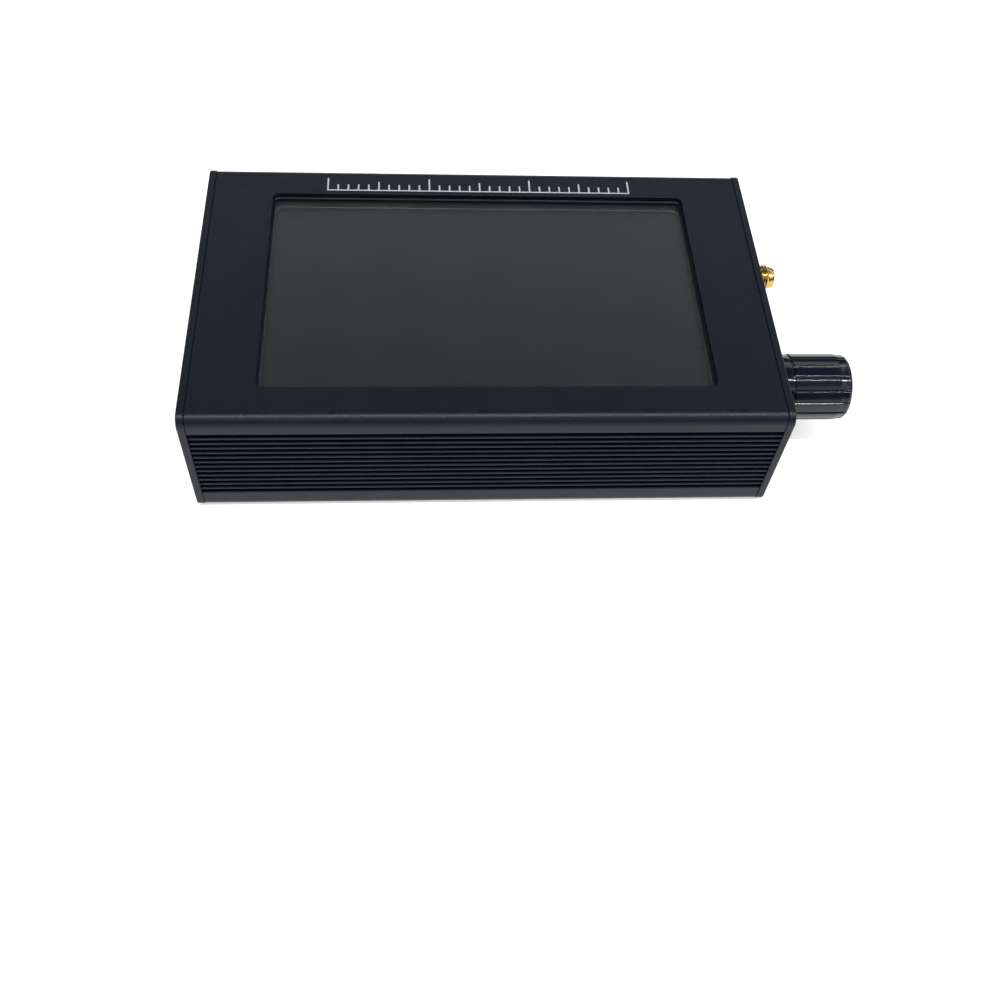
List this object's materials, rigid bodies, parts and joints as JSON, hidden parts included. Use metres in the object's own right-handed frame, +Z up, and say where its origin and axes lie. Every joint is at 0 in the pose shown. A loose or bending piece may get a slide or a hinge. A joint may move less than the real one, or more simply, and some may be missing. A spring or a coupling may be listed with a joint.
{
  "type": "spectrum analyzer",
  "caption": "Handheld radio spectrum analyzer: extruded aluminium case with a touch display in its top, a press-and-turn tuning knob and an aerial socket on one end.",
  "frame": {"origin": "middle of the resting face under the case", "axes": "+X along the extrusion towards the knob and aerial socket, +Y towards the back, +Z up out of the display"},
  "size_m": [0.1497, 0.0762, 0.032],
  "materials": {
    "anodised": "bead-blasted, black anodised, satin",
    "screw_black": "black zinc",
    "touch_glass": "polished film on glass",
    "steel": "rolled",
    "lcd_glass": "dark polariser, unlit",
    "white_plastic": "moulded",
    "flex_film": "polyimide film",
    "green_board": "solder resist on glass-epoxy",
    "black_board": "solder resist on glass-epoxy",
    "chip_plastic": "moulded epoxy",
    "brass": "turned",
    "gold": "gold plated",
    "ptfe": "PTFE",
    "nickel": "nickel plated, satin",
    "tinplate": "tin plated",
    "battery_pouch": "laminate pouch",
    "foam": "adhesive foam",
    "red_wire": "PVC",
    "black_wire": "PVC",
    "black_plastic": "moulded",
    "knob_plastic": "satin black, moulded flutes",
    "diecast": "zinc die casting, dull",
    "lamp_lens": "diffused red"
  },
  "bodies": {
    "case": {"battery": "battery_pouch", "battery_pad": "foam", "battery_plug": "white_plastic", "battery_wire_black": "black_wire", "battery_wire_red": "red_wire", "charge_lamp": "lamp_lens", "charger_chip": "chip_plastic", "display_board": "green_board", "display_header": "black_plastic", "display_screw_1": "steel", "display_screw_2": "steel", "display_screw_3": "steel", "display_screw_4": "steel", "display_spacer_1": "brass", "display_spacer_2": "brass", "display_spacer_3": "brass", "display_spacer_4": "brass", "enclosure": "anodised", "encoder_body": "chip_plastic", "encoder_bushing": "diecast", "encoder_nut": "nickel", "encoder_press_dome": "steel", "encoder_washer": "nickel", "lcd_backlight": "white_plastic", "lcd_bezel": "steel", "lcd_connector": "white_plastic", "lcd_flex": "flex_film", "lcd_panel": "lcd_glass", "left_end_plate": "anodised", "left_plate_screw_1": "screw_black", "left_plate_screw_2": "screw_black", "left_plate_screw_3": "screw_black", "left_plate_screw_4": "screw_black", "main_board": "black_board", "mcu_chip": "chip_plastic", "micro_usb_shell": "nickel", "micro_usb_tongue": "black_plastic", "power_switch_body": "nickel", "rf_board": "green_board", "rf_header_back": "black_plastic", "rf_header_front": "black_plastic", "rf_shield_can": "tinplate", "right_end_plate": "anodised", "right_plate_screw_1": "screw_black", "right_plate_screw_2": "screw_black", "right_plate_screw_3": "screw_black", "right_plate_screw_4": "screw_black", "sma_body": "gold", "sma_contact": "gold", "sma_dielectric": "ptfe", "sma_nut": "gold", "sma_washer": "gold", "touch_panel": "touch_glass"},
    "encoder_rotor": {"encoder_rotor": "white_plastic"},
    "tuning_knob": {"encoder_shaft": "nickel", "knob": "knob_plastic", "knob_spring_clip": "steel"},
    "power_lever": {"power_switch_lever": "black_plastic"}
  },
  "joints": [
    {"name": "knob_spin", "type": "hinge", "parent": "case", "child": "encoder_rotor", "pos_m": [0.0596, -0.0168, 0.016], "axis": [1, 0, 0], "continuous": true},
    {"name": "knob_press", "type": "slide", "parent": "encoder_rotor", "child": "tuning_knob", "axis": [-1, 0, 0], "range_m": [0, 0.0005], "stiffness_N_per_m": 2000, "springref_m": -0.001},
    {"name": "power_slide", "type": "slide", "parent": "case", "child": "power_lever", "axis": [0, 1, 0], "range_m": [0, 0.002]}
  ]
}
